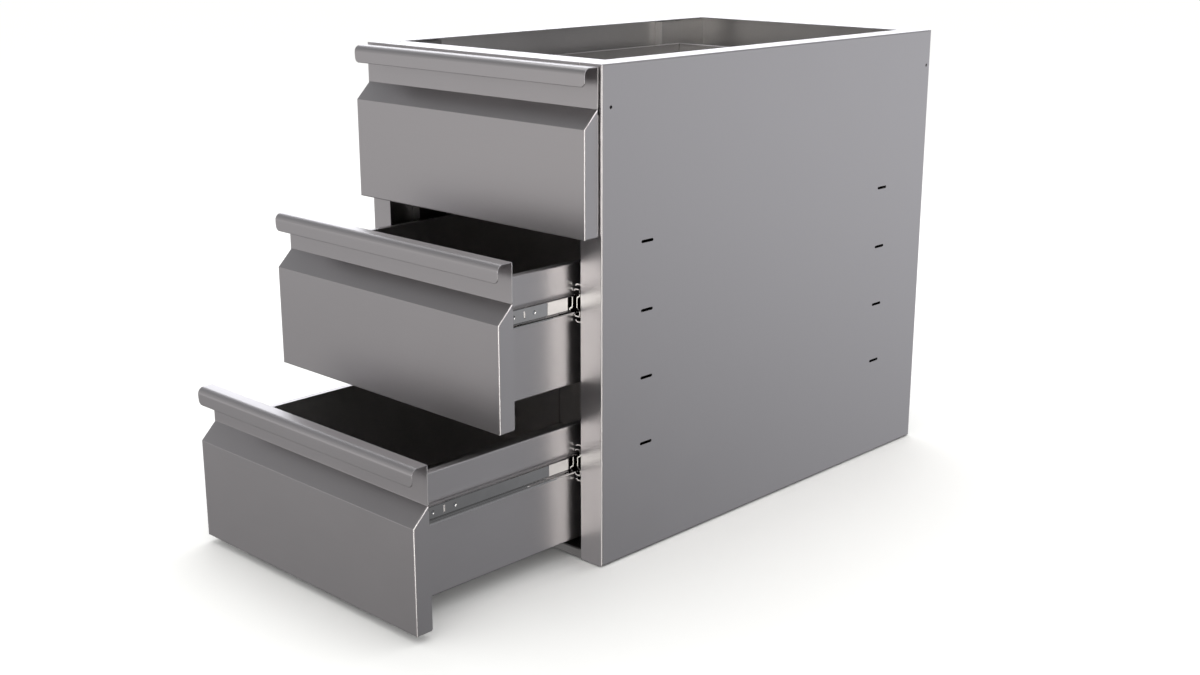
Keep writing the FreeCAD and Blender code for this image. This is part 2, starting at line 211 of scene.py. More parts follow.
def mouldedRubber(name, values):
    material, tree, shader = newMaterial(name, 0.0, values["roughness"])
    where = addNode(tree, "ShaderNodeTexCoord")
    specks = addNode(tree, "ShaderNodeTexNoise", None, {
        "Vector": where.outputs["Object"], "Scale": 1000 / values["speckMm"], "Detail": 2.0})
    colour = addNode(tree, "ShaderNodeMix", {"data_type": "RGBA"})
    tree.links.new(specks.outputs["Fac"], colour.inputs["Factor"])
    colour.inputs[6].default_value = linear(values["black"])
    colour.inputs[7].default_value = linear(values["grey"])
    tree.links.new(colour.outputs[2], shader.inputs["Base Color"])
    bump = addNode(tree, "ShaderNodeBump", None, {
        "Height": specks.outputs["Fac"], "Strength": values["bump"],
        "Distance": values["speckDepthMm"] / 1000})
    tree.links.new(bump.outputs["Normal"], shader.inputs["Normal"])
    return material


outerSteelUp = brushedSteel("brushedStainlessUpright", 2, stainless)
outerSteelAcross = brushedSteel("brushedStainlessAcross", 0, stainless)
outerSteelAlong = brushedSteel("brushedStainlessAlong", 1, stainless)
# painted shade: a darker copy of the mill steel, for the front posts
shadedMillSteelUp = brushedSteel("shadedMillStainlessUpright", 2, shadedMillSteel)
# painted light: a lighter copy of the mill steel, for the inner faces and the rear posts
litMillSteelUp = brushedSteel("litMillStainlessUpright", 2, litMillSteel)
insideSteel = brushedSteel("unpolishedLitStainlessInside", 1, litMillSteel)
millSteelAlong = brushedSteel("millStainlessAlong", 1, millSteel)
slideZinc = platedSteel("brightZincStrip", zincStrip)
cageZinc = platedSteel("dullZincCage", dict(zincStrip, clear="#b4b6ba", film="#9c9ea3",
                                            roughness=0.16, hazy=0.3))
boltZinc = platedSteel("zincBolt", dict(zincStrip, clear="#c4c6ca", film="#a9abb0",
                                        roughness=0.12, hazy=0.25))
bufferRubber = mouldedRubber("blackNitrile", nitrile)
print("materials ready")


# Modelling helpers. Pieces are drawn in millimetres and brought to metres when they are finished.

pickTolerance = 0.01
cutReach = 5.0          # a cutter stands out this far on both sides of the sheet


def around(a, b):
    return min(a, b) - pickTolerance, max(a, b) + pickTolerance


def pick(piece, kind, x=None, y=None, z=None, more=False):
    # selects what lies wholly between the limits; kind is VERT, EDGE or FACE
    bpy.ops.mesh.select_mode(type=kind)
    if not more:
        bpy.ops.mesh.select_all(action="DESELECT")
    mesh = bmesh.from_edit_mesh(piece.data)
    limits = [(i, r if isinstance(r, tuple) else around(r, r))
              for i, r in enumerate((x, y, z)) if r is not None]
    for part in {"VERT": mesh.verts, "EDGE": mesh.edges, "FACE": mesh.faces}[kind]:
        corners = [part] if kind == "VERT" else part.verts
        if all(low <= v.co[i] <= high for v in corners for i, (low, high) in limits):
            part.select_set(True)
    bmesh.update_edit_mesh(piece.data)


def drawOut(x=0.0, y=0.0, z=0.0):
    bpy.ops.mesh.extrude_region_move(TRANSFORM_OT_translate={"value": (x, y, z)})


def shift(x=0.0, y=0.0, z=0.0):
    bpy.ops.transform.translate(value=(x, y, z))


def bend(radius, degrees=90.0, steps=None):
    # rounds the selected folds with this radius on the drawn side
    bpy.ops.mesh.bevel(offset=radius * math.tan(math.radians(degrees) / 2), affect="EDGES",
                       segments=steps or unit["bendSteps"], profile=0.5)


def named(name):
    piece = bpy.context.object
    piece.name = name
    piece.data.name = name
    return piece


def closeEdit():
    if bpy.context.object and bpy.context.object.mode == "EDIT":
        bpy.ops.object.mode_set(mode="OBJECT")


def only(piece):
    closeEdit()
    bpy.ops.object.select_all(action="DESELECT")
    piece.select_set(True)
    bpy.context.view_layer.objects.active = piece


def edit(piece):
    only(piece)
    bpy.ops.object.mode_set(mode="EDIT")


def thicken(piece, thickness, coats=()):
    # the sheet grows behind the drawn surface; coats: drawn side, other side
    only(piece)
    for coat in coats:
        piece.data.materials.append(coat)
    sheet = piece.modifiers.new("sheet", "SOLIDIFY")
    sheet.material_offset = len(coats) - 1 if coats else 0
    sheet.thickness = thickness
    sheet.offset = -1
    sheet.use_even_offset = True
    sheet.use_rim = True
    bpy.ops.object.modifier_apply(modifier=sheet.name)


def faceOutwards(piece, sample, wanted):
    # turns the whole open surface so that the face nearest the sample looks the wanted way
    edit(piece)
    bpy.ops.mesh.select_all(action="SELECT")
    bpy.ops.mesh.normals_make_consistent(inside=False)
    mesh = bmesh.from_edit_mesh(piece.data)
    nearest = min(mesh.faces, key=lambda f: (f.calc_center_median() - Vector(sample)).length)
    if nearest.normal.dot(Vector(wanted)) < 0:
        bpy.ops.mesh.flip_normals()


def placeIn(axis, along, a, b):
    # a point from its place along the axis and its two places across it
    return {"x": (along, a, b), "y": (a, along, b), "z": (a, b, along)}[axis]


def foldStrip(name, axis, path, low, high, thickness, metal=1, inside=None, coats=()):
    # Starts as one edge across the strip, drawn out flat by flat along the path, which is one face of
    # the sheet. The metal lies to the left of the path for 1, to the right for -1.
    span = high - low
    middle = (low + high) / 2
    a, b = path[0]
    turned = (math.pi / 2, 0, 0) if axis == "z" else (0, 0, 0)
    if axis == "x":
        place = (middle, a + span / 2, b)
    elif axis == "y":
        place = (a + span / 2, middle, b)
    else:
        place = (a + span / 2, b, middle)
    bpy.ops.mesh.primitive_plane_add(size=span, location=place, rotation=turned)
    piece = named(name)
    bpy.ops.object.transform_apply(location=True, rotation=True, scale=True)
    edit(piece)
    across = "y" if axis == "x" else "x"
    pick(piece, "VERT", **{across: a + span})
    bpy.ops.mesh.delete(type="VERT")
    pick(piece, "EDGE", **{across: a})
    for p, q in zip(path, path[1:]):
        drawOut(*placeIn(axis, 0.0, q[0] - p[0], q[1] - p[1]))
    run = Vector((path[1][0] - path[0][0], path[1][1] - path[0][1]))
    sample = placeIn(axis, middle, (path[0][0] + path[1][0]) / 2, (path[0][1] + path[1][1]) / 2)
    faceOutwards(piece, sample, placeIn(axis, 0.0, metal * run.y, -metal * run.x))
    first, second = [i for i in range(3) if "xyz"[i] != axis]
    for i in range(1, len(path) - 1):
        p, q, r = Vector(path[i - 1]), Vector(path[i]), Vector(path[i + 1])
        d, e = (q - p).normalized(), (r - q).normalized()
        turn = math.atan2(d.x * e.y - d.y * e.x, d.dot(e))
        radius = unit["foldInside"] if inside is None else inside
        if turn * metal < 0:
            radius += thickness
        limits = {"xyz"[first]: q.x, "xyz"[second]: q.y}
        pick(piece, "EDGE", **limits)
        bend(radius, math.degrees(abs(turn)))
    thicken(piece, thickness, coats)
    return piece


def cutAway(piece, cutters):
    # one cut with all the cutters, which are joined and thrown away
    closeEdit()
    bpy.ops.object.select_all(action="DESELECT")
    for cutter in cutters:
        cutter.select_set(True)
    bpy.context.view_layer.objects.active = cutters[0]
    if len(cutters) > 1:
        bpy.ops.object.join()
    tool = bpy.context.object
    only(piece)
    cut = piece.modifiers.new("cut", "BOOLEAN")
    cut.operation = "DIFFERENCE"
    cut.solver = "EXACT"
    cut.use_self = True
    cut.object = tool
    bpy.ops.object.modifier_apply(modifier=cut.name)
    discard(tool)


def discard(piece):
    bpy.data.objects.remove(piece, do_unlink=True)


def drill(axis, radius, middle, a, b, sides=20, reach=cutReach):
    turned = {"x": (0, math.pi / 2, 0), "y": (math.pi / 2, 0, 0), "z": (0, 0, 0)}[axis]
    bpy.ops.mesh.primitive_cylinder_add(vertices=sides, radius=radius, depth=2 * reach,
                                        location=placeIn(axis, middle, a, b), rotation=turned)
    return bpy.context.object


def rivetHole(middle, y, z, reach=cutReach):
    return drill("x", unit["rivetHole"], middle, y, z, 16, reach)


def punch(x, y, z):
    bpy.ops.mesh.primitive_cube_add(size=1, location=[(r[0] + r[1]) / 2 for r in (x, y, z)],
                                    scale=[r[1] - r[0] for r in (x, y, z)])
    return bpy.context.object


def easeEdges(piece, width=unit["burr"]):
    # the burr of every cut edge is taken off
    only(piece)
    ease = piece.modifiers.new("ease", "BEVEL")
    ease.width = width
    ease.segments = 1
    ease.limit_method = "ANGLE"
    ease.angle_limit = math.radians(50)
    ease.use_clamp_overlap = True
    bpy.ops.object.modifier_apply(modifier=ease.name)


def finishPiece(piece, material, smoothAngle=32):
    only(piece)
    piece.scale = (0.001, 0.001, 0.001)
    bpy.ops.object.transform_apply(location=True, rotation=True, scale=True)
    bpy.ops.object.shade_smooth_by_angle(angle=math.radians(smoothAngle))
    if not piece.data.materials:
        piece.data.materials.append(material)
    return piece


def copyPiece(piece, name, move=(0, 0, 0), mirrored=False):
    # a copy with its own mesh, moved in millimetres and mirrored to the other side where asked
    copy = piece.copy()
    copy.data = piece.data.copy()
    copy.name = name
    copy.data.name = name
    bpy.context.collection.objects.link(copy)
    copy.location = [m * 0.001 for m in move]
    if mirrored:
        copy.scale = (-1, 1, 1)
        copy.location.x *= -1
    only(copy)
    bpy.ops.object.transform_apply(location=True, rotation=True, scale=True)
    if mirrored:
        edit(copy)
        bpy.ops.mesh.select_all(action="SELECT")
        bpy.ops.mesh.normals_make_consistent(inside=False)
        closeEdit()
    return copy


def settle(piece, body, slot, *nodes):
    # flats are shaded flat up to where a bend begins
    only(piece)
    flats = piece.modifiers.new("flats", "WEIGHTED_NORMAL")
    flats.keep_sharp = True
    flats.weight = 100
    bpy.ops.object.modifier_apply(modifier=flats.name)
    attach(piece, body)
    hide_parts(*nodes)


# Drawer front: one sheet, folded round into grip, neck, slope, face and returns

drawerFront = {
    "half": 196.0,
    "height": 185.0,
    "gap": 2.5,             # from the closed front to the stiles
    "neck": 45.0,
    "slope": 20.0,
    "sheet": 1.0,
    "lip": 20.5,
    "gripRadius": 8.0,
    "lipCorner": 6.0,
    "lipRound": 0.7,        # for the fingers
    "sideFlange": 12.0,
    "sideFlangeEnds": (2.0, 6.0),   # how far it stops short of the base and of the neck
    "bottomFlange": 25.0,
    "flangeGap": 1.0,
    "faceFold": 1.1,        # radii of the folds on the drawn side
    "neckFold": 1.0,
    "baseFold": 1.4,
    "gripFold": 0.5,
}


def makeDrawerFront(name, rim):
    f = drawerFront
    half, t = f["half"], f["sheet"]
    nearY = unit["front"] - f["gap"]
    faceY = nearY - f["slope"]
    base = rim - f["height"]
    foot = rim - f["neck"]
    tall = foot - base
    bpy.ops.mesh.primitive_cube_add(size=1, location=(0, (nearY + faceY) / 2, base + tall / 2),
                                    scale=(2 * half, f["slope"], tall))
    piece = named(name)
    bpy.ops.object.transform_apply(location=True, rotation=True, scale=True)
    edit(piece)
    # the box becomes a wedge, open at the back
    pick(piece, "EDGE", y=faceY, z=foot)
    shift(z=-f["slope"])
    pick(piece, "FACE", y=nearY)
    bpy.ops.mesh.delete(type="ONLY_FACE")
    # neck, then top and lip of the grip, which are drawn on their inner side
    pick(piece, "EDGE", y=nearY, z=foot)
    drawOut(z=f["neck"] - t)
    drawOut(y=-f["slope"] + t)
    drawOut(z=-f["lip"] + t)
    # returns behind the cheeks and behind the face
    for s in (-1, 1):
        pick(piece, "EDGE", x=s * half, y=nearY, z=around(base, foot))
        drawOut(y=t)
        drawOut(x=-s * f["sideFlange"])
    pick(piece, "EDGE", y=nearY, z=base)
    drawOut(y=t)
    drawOut(z=f["bottomFlange"])
    # the side returns stop short of the corners
    backY = nearY + t
    behind = around(nearY, backY)
    inner = half - f["sideFlange"]
    lowEnd, highEnd = base + f["sideFlangeEnds"][0], foot - f["sideFlangeEnds"][1]
    for z, up in ((lowEnd, 1), (highEnd, -1)):
        for s in (-1, 1):
            pick(piece, "FACE", x=around(s * inner, s * half), y=behind, more=s > 0)
        bpy.ops.mesh.bisect(plane_co=(0, 0, z), plane_no=(0, 0, -up))
    for z in (around(base, lowEnd), around(highEnd, foot)):
        for s in (-1, 1):
            pick(piece, "FACE", x=around(s * inner, s * half), y=behind, z=z)
            bpy.ops.mesh.delete(type="FACE")
    # the bottom return clears the side returns
    clear = inner - f["flangeGap"]
    baseStrip = around(base, base + f["bottomFlange"])
    for s in (-1, 1):
        pick(piece, "FACE", y=behind, z=baseStrip)
        bpy.ops.mesh.bisect(plane_co=(s * clear, 0, 0), plane_no=(s, 0, 0))
    for s in (-1, 1):
        corner = around(s * clear, s * half)
        pick(piece, "FACE", x=corner, y=behind, z=base)
        pick(piece, "FACE", x=corner, y=backY, z=baseStrip, more=True)
        bpy.ops.mesh.delete(type="FACE")
    faceOutwards(piece, (0, faceY, base + tall / 2), (0, -1, 0))
    # folds round the cheeks, which run straight on at the back
    for s in (-1, 1):
        pick(piece, "EDGE", x=s * half, y=around(faceY, nearY), z=around(base, foot), more=s > 0)
    mesh = bmesh.from_edit_mesh(piece.data)
    for edge in mesh.edges:
        a, b = edge.verts[0].co, edge.verts[1].co
        if edge.select and min(a.y, b.y) > nearY - pickTolerance:
            edge.select_set(False)
    bmesh.update_edit_mesh(piece.data)
    bend(unit["foldInside"] + t)
    pick(piece, "EDGE", y=faceY, z=foot - f["slope"])
    bend(f["faceFold"], 45, 3)
    pick(piece, "EDGE", y=nearY, z=foot)
    bend(f["neckFold"], 45, 3)
    pick(piece, "EDGE", y=faceY, z=base)
    bend(f["baseFold"], 90, 4)
    pick(piece, "EDGE", y=nearY, z=rim - t)
    bend(f["gripFold"], 90, 3)
    pick(piece, "EDGE", y=faceY + t, z=rim - t)
    bend(f["gripRadius"] - t, 90, 10)
    for s in (-1, 1):
        pick(piece, "VERT", x=s * half, y=faceY + t, z=rim - f["lip"], more=s > 0)
    bpy.ops.mesh.bevel(offset=f["lipCorner"], affect="VERTICES", segments=6, profile=0.5)
    thicken(piece, t)
    edit(piece)
    end = rim - f["lip"]
    pick(piece, "EDGE", y=faceY, z=around(end, end + f["lipCorner"]))
    bpy.ops.mesh.bevel(offset=f["lipRound"], affect="EDGES", segments=3, profile=0.5)
    easeEdges(piece)
    return finishPiece(piece, outerSteelAcross)


master = makeDrawerFront("frontMaster", firstRim)
for d in drawers:
    front = copyPiece(master, "drawerFront_" + d["name"], (0, -d["out"], d["rim"] - firstRim))
    settle(front, "drawer_" + d["name"], "drawer_sheet", "drawer_front_" + d["name"])
discard(master)
print("drawer fronts done")


# Drawer box: one sheet folded up on four sides, corners open, with a flat hem turned in round the top

drawerBox = {
    "half": 155.0,
    "depth": 533.5,
    "height": 142.0,
    "drop": 29.0,           # hem below the top of the front
    "hem": 8.0,
    "cornerGap": 0.9,
    "mitreGap": 1.0,
    "sheet": 1.0,
    "slideStart": 1.5,      # the slides, from the stiles' outer face
    "slideDrop": 74.5,      # and from the top of the front down to their middle
    "holes": (34.5, 65.5, 430.0),
}


def makeDrawerBox(name, rim):
    b = drawerBox
    half, t = b["half"], b["sheet"]
    y0 = unit["front"] - drawerFront["gap"] + t + unit["play"]
    y1 = y0 + b["depth"]
    top = rim - b["drop"]
    low = top - b["height"]
    inset = t + b["cornerGap"]
    bpy.ops.mesh.primitive_plane_add(size=1, location=(0, (y0 + y1) / 2, low))
    piece = named(name)
    piece.scale = (2 * half, b["depth"], 1)
    bpy.ops.object.transform_apply(location=True, rotation=True, scale=True)
    edit(piece)
    for y in (y0 + inset, y1 - inset):
        # the floor is marked where the side walls begin and end
        bpy.ops.mesh.select_all(action="SELECT")
        bpy.ops.mesh.bisect(plane_co=(0, y, 0), plane_no=(0, 1, 0))
    for y in (y0, y1):
        pick(piece, "EDGE", y=y, z=low)
        drawOut(z=b["height"])
        drawOut(y=b["hem"] if y == y0 else -b["hem"])
    wall = around(y0 + inset, y1 - inset)
    for x in (-half, half):
        pick(piece, "EDGE", x=x, y=wall, z=low)
        drawOut(z=b["height"])
        drawOut(x=b["hem"] if x < 0 else -b["hem"])
    # mitres of the hem: its inner corners are drawn back along the diagonal
    for x in (-half, half):
        for y, back in ((y0, 1), (y1, -1)):
            pick(piece, "VERT", x=x, y=y + back * b["hem"], z=top)
            shift(x=-math.copysign(b["hem"] + b["mitreGap"], x))
            pick(piece, "VERT", x=x - math.copysign(b["hem"], x), y=y + back * inset, z=top)
            shift(y=back * (b["hem"] - inset + b["mitreGap"]))
    # relief notches at the floor's corners, so that no fold runs into another
    radius = unit["foldInside"] + t
    notch = radius + unit["play"]
    width = around(-half, half)
    for y, back in ((y0, 1), (y1, -1)):
        floorStrip = around(y, y + back * inset)
        pick(piece, "FACE", x=width, y=y, z=around(low, top))
        bpy.ops.mesh.bisect(plane_co=(0, 0, low + notch), plane_no=(0, 0, 1))
        for x in (-half, half):
            corner = x - math.copysign(notch, x)
            pick(piece, "FACE", x=width, y=floorStrip, z=around(low, low + notch))
            bpy.ops.mesh.bisect(plane_co=(corner, 0, 0), plane_no=(1, 0, 0))
            pick(piece, "FACE", x=around(corner, x), y=floorStrip, z=around(low, low + notch))
            bpy.ops.mesh.delete(type="FACE")
    faceOutwards(piece, (0, 0, low), (0, 0, -1))
    for y in (y0, y1):
        for z in (low, top):
            pick(piece, "EDGE", x=width, y=y, z=z)
            bend(radius, 90, 4)
    for x in (-half, half):
        for z in (low, top):
            pick(piece, "EDGE", x=x, y=wall, z=z)
            bend(radius, 90, 4)
    thicken(piece, t, (outerSteelAlong, insideSteel))
    start, z = unit["front"] + b["slideStart"], rim - b["slideDrop"]
    cutAway(piece, [rivetHole(0, start + y, z, half + cutReach) for y in b["holes"]])
    return finishPiece(piece, outerSteelAlong)


master = makeDrawerBox("boxMaster", firstRim)
for d in drawers:
    box = copyPiece(master, "drawerBox_" + d["name"], (0, -d["out"], d["rim"] - firstRim))
    settle(box, "drawer_" + d["name"], "drawer_sheet", "drawer_box_" + d["name"])
discard(master)
print("drawer boxes done")


# Slides: three roll-formed members. Each section is drawn from its edge to the middle and mirrored, and a
# point is its depth in from the bracket and its height over the slide's middle.

slide = {
    "mountX": 168.0,
    "front": unit["front"] + drawerBox["slideStart"],
    "drop": drawerBox["slideDrop"],
    "length": 500.0,
    "depth": 13.0,
    "sheet": 1.2,
    "outer": [(10.8, 20.2), (8.8, 22.3), (2.6, 22.3), (0.0, 19.8)],
    "middle": [(12.5, 13.8), (11.0, 16.2), (5.2, 16.2), (3.3, 14.3), (3.3, 8.1), (7.6, 5.7)],
    "inner": [(6.0, 10.4), (7.4, 11.0), (11.6, 11.0), (13.0, 9.6)],
    "foldInside": {"outer": 0.5, "middle": 0.5, "inner": 0.4},
    "rivets": (30.0, 430.0),
    "innerHoles": drawerBox["holes"],
    "countersink": (0.7, 2.3),      # depth and radius
    "innerSlot": (50.5, 2.4, 8.0),  # place, width and height
}


def rollFormed(name, section, thickness, start, length, z, metal, inside):
    whole = section + [(u, -w) for u, w in reversed(section)]
    path = [(slide["mountX"] - u, z + w) for u, w in whole]
    return foldStrip(name, "y", path, start, start + length, thickness, metal, inside)


def rollMember(kind, z, metal):
    return rollFormed(kind + "Member", slide[kind], slide["sheet"], slide["front"], slide["length"],
                      z, metal, slide["foldInside"][kind])


def makeOuterMember(z):
    piece = rollMember("outer", z, -1)
    cutAway(piece, [rivetHole(slide["mountX"], slide["front"] + y, z) for y in slide["rivets"]])
    return finishPiece(piece, slideZinc)


def makeMiddleMember(z):
    return finishPiece(rollMember("middle", z, -1), slideZinc)


def countersink(x, y, z):
    # a short cone, cut into the face that looks away from the box, whose far side catches the light
    deep, wide = slide["countersink"]
    proud = 1.0
    bpy.ops.mesh.primitive_cone_add(vertices=16, radius1=wide - deep, radius2=wide + proud,
                                    depth=deep + proud, rotation=(0, math.pi / 2, 0),
                                    location=(x + (proud - deep) / 2, y, z))
    return bpy.context.object


def makeInnerMember(z):
    piece = rollMember("inner", z, 1)
    x = slide["mountX"] - slide["depth"]
    cutters = []
    for y in slide["innerHoles"]:
        cutters.append(rivetHole(x, slide["front"] + y, z))
        cutters.append(countersink(x + slide["sheet"], slide["front"] + y, z))
    at, wide, tall = slide["innerSlot"]
    y = slide["front"] + at
    cutters.append(punch((x - cutReach, x + cutReach), (y - wide / 2, y + wide / 2),
                         (z - tall / 2, z + tall / 2)))
    cutAway(piece, cutters)
    return finishPiece(piece, slideZinc)


# Ball cages: thin strips with a window for every ball

cages = {
    "sheet": 0.5,
    "foldInside": 0.2,
    "window": 0.12,         # gap round each ball
    # sections as above; the balls' diameter and where they run; the cage's start behind the slide's front
    "outer": {"section": [(9.0, 18.95), (1.9, 18.95)], "ball": 4.0, "at": (6.2, 18.7),
              "start": 126.0, "length": 250.0, "balls": 14},
    "inner": {"section": [(10.8, 13.25), (4.9, 13.25), (4.9, 9.1), (9.5, 6.5)], "ball": 3.2,
              "at": (8.6, 13.0), "start": 150.0, "length": 200.0, "balls": 12},
}


def makeCage(kind, z):
    c = cages[kind]
    start, radius = slide["front"] + c["start"], c["ball"] / 2
    piece = rollFormed(kind + "Cage", c["section"], cages["sheet"], start, c["length"], z, -1,
                       cages["foldInside"])
    x, high = slide["mountX"] - c["at"][0], c["at"][1]
    places = [start + c["length"] * (i + 0.5) / c["balls"] for i in range(c["balls"])]
    cutAway(piece, [drill("z", radius + cages["window"], z, x, y, 12, high + cutReach) for y in places])
    balls = []
    for y in places:
        for s in (-1, 1):
            bpy.ops.mesh.primitive_uv_sphere_add(segments=8, ring_count=6, radius=radius,
                                                 location=(x, y, z + s * high))
            balls.append(bpy.context.object)
    closeEdit()
    bpy.ops.object.select_all(action="DESELECT")
    for ball in balls + [piece]:
        ball.select_set(True)
    bpy.context.view_layer.objects.active = piece
    bpy.ops.object.join()
    return finishPiece(piece, cageZinc, 50)


# each kind with its visual name, body, slot and share of the drawer's way out
firstZ = firstRim - slide["drop"]
slideKinds = {
    "slide_outer": (makeOuterMember(firstZ), "slideOuter", "cabinet", "slide_steel", 0.0),
    "slide_middle": (makeMiddleMember(firstZ), "slideMiddle", "members_", "slide_steel", 0.0),
    "slide_inner": (makeInnerMember(firstZ), "slideInner", "drawer_", "slide_steel", 1.0),
    "cage_outer": (makeCage("outer", firstZ), "cageOuter", "outer_cages_", "cage_steel", 0.0),
    "cage_inner": (makeCage("inner", firstZ), "cageInner", "inner_cages_", "cage_steel", 0.5),
}
for kind, (master, label, body, slot, share) in slideKinds.items():
    for d in drawers:
        move = (0, -d["out"] * share, d["rim"] - firstRim)
        carrier = body if body == "cabinet" else body + d["name"]
        for side in ("right", "left"):
            ending = "_" + d["name"] + "_" + side
            piece = copyPiece(master, label + ending, move, side == "left")
            settle(piece, carrier, slot, kind + ending)
    discard(master)
print("slides and cages done")


# Cabinet side: a panel with stile, top flange, rear and bottom returns, slots and holes

sidePanel = {
    "stile": 33.5,
    "rearReturn": 20.0,
    "bottomReturn": 20.0,
    "topFlange": {"right": 33.5, "left": 21.0},
    "slantNear": 30.8,      # the left flange's width at the front, where it meets the rail
    "slantReach": 45.0,
    "flangeGap": 0.1,       # from the stile to the top flange and to the bottom return
    "slot": (20.0, 3.5),
    "slotColumns": (-246.0, 219.5),
    "slotLowest": 134.0,
    "slotPitch": 80.0,
    "slotRows": 4,
    "hole": (4.0, 528.8, (-306.1, 311.3)),  # diameter, height, places
    "foot": (9.0, 189.0, 285.0),            # diameter, place across, place along
    "edgeRadius": 2.2,
}


def makeSidePanel(side):
    p = sidePanel
    edge, t = unit["halfWidth"], unit["sheet"]
    y0, y1, top = unit["front"], unit["back"], unit["height"]
    flange = p["topFlange"][side]
    bpy.ops.mesh.primitive_plane_add(size=1, location=(edge, 0, top / 2), rotation=(0, math.pi / 2, 0))
    piece = named("sidePanel_" + side)
    piece.scale = (top, y1 - y0, 1)
    bpy.ops.object.transform_apply(location=True, rotation=True, scale=True)
    edit(piece)
    pick(piece, "EDGE", x=edge, y=y0)
    drawOut(x=-p["stile"])
    pick(piece, "EDGE", x=edge, y=y1)
    drawOut(x=-p["rearReturn"])
    pick(piece, "EDGE", x=edge, y=around(y0, y1), z=0)
    drawOut(x=-p["bottomReturn"])
    pick(piece, "EDGE", x=edge, y=around(y0, y1), z=top)
    drawOut(x=-flange)
    # top flange and bottom return start just behind the stile, and the left flange widens towards it
    if side == "left":
        pick(piece, "FACE", x=around(edge - flange, edge), z=top)
        bpy.ops.mesh.bisect(plane_co=(0, y0 + p["slantReach"], 0), plane_no=(0, 1, 0))
    for z in (0, top):
        pick(piece, "VERT", x=edge - (flange if z else p["bottomReturn"]), y=y0, z=z)
        shift(x=flange - p["slantNear"] if z and side == "left" else 0, y=t + p["flangeGap"])
    faceOutwards(piece, (edge, 0, top / 2), (1, 0, 0))
    pick(piece, "EDGE", x=edge, y=y0)
    pick(piece, "EDGE", x=edge, y=y1, more=True)
    for z in (0, top):
        pick(piece, "EDGE", x=edge, z=z, more=True)
    bend(p["edgeRadius"])
    thicken(piece, t, (outerSteelUp, insideSteel))
    cutters = []
    long, tall = p["slot"]
    end = tall / 2
    half = long / 2 - end
    for y in p["slotColumns"]:
        for row in range(p["slotRows"]):
            z = p["slotLowest"] + row * p["slotPitch"]
            cutters.append(punch((edge - cutReach, edge + cutReach), (y - half, y + half),
                                 (z - end, z + end)))
            cutters += [drill("x", end, edge, y + s * half, z, 16) for s in (-1, 1)]
    size, z, places = p["hole"]
    cutters += [drill("x", size / 2, edge, y, z) for y in places]
    size, x, y = p["foot"]
    cutters += [drill("z", size / 2, 0, x, s * y, 24) for s in (-1, 1)]
    cutAway(piece, cutters)
    finishPiece(piece, outerSteelUp)
    if side == "right":
        return piece
    # drawn on the right and mirrored
    copy = copyPiece(piece, "sidePanelLeft", mirrored=True)
    discard(piece)
    return copy


for side in ("right", "left"):
    settle(makeSidePanel(side), "cabinet", "outer_sheet", "side_panel_" + side)
print("side panels done")


# Rail, back, posts and brackets

frameParts = {
    "railHalf": 166.45,
    "railDrop": 25.0,
    "railFlange": 40.0,
    "railReturn": 12.0,
    "railFold": 0.2,
    "railHole": (3.0, 132.0, 4.0),  # diameter, place across, place behind the front
    "earSeam": 1.8,
    "earOverlap": 1.0,
    "backFlange": 30.0,
    "backFoot": 1.0,
    "backNotch": 5.0,
    "floorTop": 10.9,
    "postFront": (62.0, 528.0),
    "postWidth": 46.0,
    "postDepth": 13.0,
    "postTop": 571.8,
    "postEdge": 0.35,
    "crown": 49.0,
    "crownFoot": 14.0,
    "bracketStart": 3.0,
}


def makeRail():
    p = frameParts
    y0, top, t, play = unit["front"], unit["height"], unit["sheet"], unit["play"]
    half = p["railHalf"]
    path = [(y0, top - p["railDrop"]), (y0, top), (y0 + p["railFlange"], top),
            (y0 + p["railFlange"], top - p["railReturn"])]
    piece = foldStrip("frontRail", "x", path, -half, half, t, -1, p["railFold"])
    # an ear runs on to the left flange, cut on its slant
    nearY, farY = y0 + t + play, y0 + p["railFlange"] - t
    leftX = sidePanel["slantNear"] + p["earSeam"] - unit["halfWidth"]
    rightX = p["earOverlap"] - half
    slope = (sidePanel["slantNear"] - sidePanel["topFlange"]["left"]) / (sidePanel["slantReach"] - t)
    bpy.ops.mesh.primitive_plane_add(size=1, location=((leftX + rightX) / 2, (nearY + farY) / 2, top))
    ear = bpy.context.object
    ear.scale = (abs(rightX - leftX), farY - nearY, 1)
    bpy.ops.object.transform_apply(location=True, rotation=True, scale=True)
    edit(ear)
    pick(ear, "VERT", x=min(leftX, rightX), y=farY)
    shift(x=-slope * (farY - nearY))
    faceOutwards(ear, (leftX, nearY, top), (0, 0, 1))
    thicken(ear, t)
    ear.select_set(True)
    piece.select_set(True)
    bpy.context.view_layer.objects.active = piece
    bpy.ops.object.join()
    size, x, y = p["railHole"]
    cutAway(piece, [drill("z", size / 2, top, s * x, y0 + y, 16) for s in (-1, 1)])
    return finishPiece(piece, outerSteelAcross)


def makeBack():
    # its flange makes room for the side panels' top flanges
    p = frameParts
    top, t, play = unit["height"], unit["sheet"], unit["play"]
    half = unit["halfWidth"] - t - play
    y, flangeEnd = unit["back"] - t - play, unit["back"] - p["backFlange"]
    path = [(y, t + p["backFoot"]), (y, top), (flangeEnd, top)]
    piece = foldStrip("backPanel", "x", path, -half, half, t, 1, None, (outerSteelAcross, insideSteel))
    corners = []
    for s, side in ((-1, "left"), (1, "right")):
        inner = unit["halfWidth"] - sidePanel["topFlange"][side] - play
        outer = unit["halfWidth"] + cutReach
        corners.append(punch(sorted((s * inner, s * outer)), (flangeEnd - cutReach, y + cutReach),
                             (top - p["backNotch"], top + cutReach)))
    cutAway(piece, corners)
    return finishPiece(piece, outerSteelAcross)


